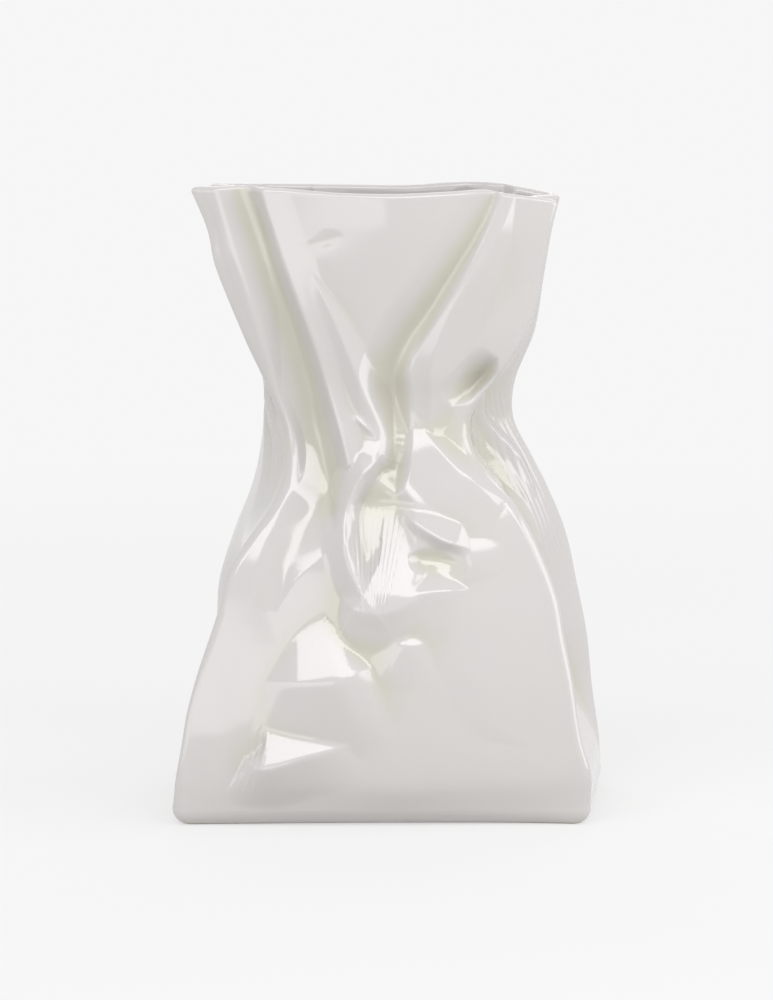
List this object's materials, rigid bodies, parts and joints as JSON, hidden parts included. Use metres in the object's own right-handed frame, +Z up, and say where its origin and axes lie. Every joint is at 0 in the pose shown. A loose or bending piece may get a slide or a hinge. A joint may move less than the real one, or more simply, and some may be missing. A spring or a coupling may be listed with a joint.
{
  "type": "pillow vase",
  "caption": "Slab-built ceramic vase in the form of a crumpled upright bag, with a flared mouth, pinched wrinkled waist, folded side gussets and a wide flat foot.",
  "frame": {"origin": "middle of the vase's bounding box, on the table under the foot", "axes": "+Z up, -Y towards the viewer of the broad front, +X to that viewer's right"},
  "size_m": [0.1483, 0.1096, 0.22],
  "materials": {
    "white_glaze": "glossy white glaze, very slightly ivory",
    "bare_clay": "matte unglazed stoneware at the foot ring, glazed on its curved side"
  },
  "bodies": {
    "root": {"front_wall": "white_glaze", "back_wall": "white_glaze", "left_gusset": "white_glaze", "right_gusset": "white_glaze", "base_slab": "bare_clay"}
  },
  "joints": []
}
